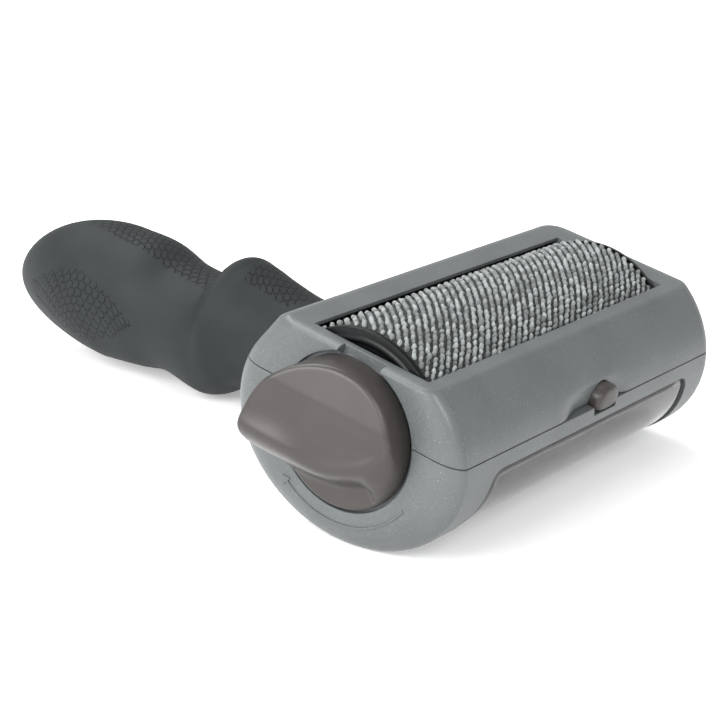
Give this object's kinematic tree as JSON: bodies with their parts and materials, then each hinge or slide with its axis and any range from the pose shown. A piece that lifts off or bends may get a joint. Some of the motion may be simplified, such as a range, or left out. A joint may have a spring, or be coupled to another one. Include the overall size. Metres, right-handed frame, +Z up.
{
  "type": "lint roller",
  "caption": "Self-cleaning lint roller with a hinged cover, lint bin with a window, twist knob that strips the fabric roller on a comb, and a soft grip",
  "frame": {"origin": "centre of the bounding box in X and Y, at its lowest point, which is the surface the tool lies on", "axes": "+X runs along the roller away from the knob, +Y from the head to the grip's end, +Z up with the roller's open face upwards, leaning 11 degrees towards -Y"},
  "size_m": [0.1272, 0.1874, 0.0496],
  "materials": {
    "housing": "grey-green moulded plastic with fine pearl flakes, low sheen",
    "knob": "warm grey pearl plastic, satin",
    "rubber": "soft-touch charcoal overmould",
    "black": "black moulded plastic",
    "fabric": "short directional pile in ribs round the roller",
    "clear": "clear smoked plastic",
    "steel": "bare drawn steel",
    "bushing": "natural acetal",
    "core": "dark moulded plastic"
  },
  "bodies": {
    "bin": {"bin_housing": "housing", "window_lens": "clear", "hinge_pin_near": "steel", "hinge_pin_far": "steel", "handle_core": "core", "grip_overmold": "rubber", "handle_screw_near": "steel", "handle_screw_far": "steel"},
    "cover": {"roller_cover": "housing", "bushing_near": "bushing", "bushing_far": "bushing", "cleaning_comb": "core", "comb_screw_near": "steel", "comb_screw_far": "steel"},
    "roller": {"drive_shaft": "steel", "roller_core": "core", "lint_sleeve": "fabric", "roller_end_disc_near": "black", "roller_end_disc_far": "black", "twist_knob": "knob", "retaining_ring": "steel"},
    "latch": {"latch_button": "knob"}
  },
  "joints": [
    {"name": "cover_hinge", "type": "hinge", "parent": "bin", "child": "cover", "pos_m": [-0.04838, -0.03175, 0.03709], "axis": [-1, 0, 0], "range_deg": [0, 95]},
    {"name": "knob_spin", "type": "hinge", "parent": "cover", "child": "roller", "pos_m": [-0.04838, -0.06152, 0.02672], "axis": [1, 0, 0], "continuous": true},
    {"name": "latch_press", "type": "slide", "parent": "bin", "child": "latch", "axis": [0, 0.9816, 0.1908], "range_m": [0, 0.0012], "stiffness_N_per_m": 800}
  ]
}
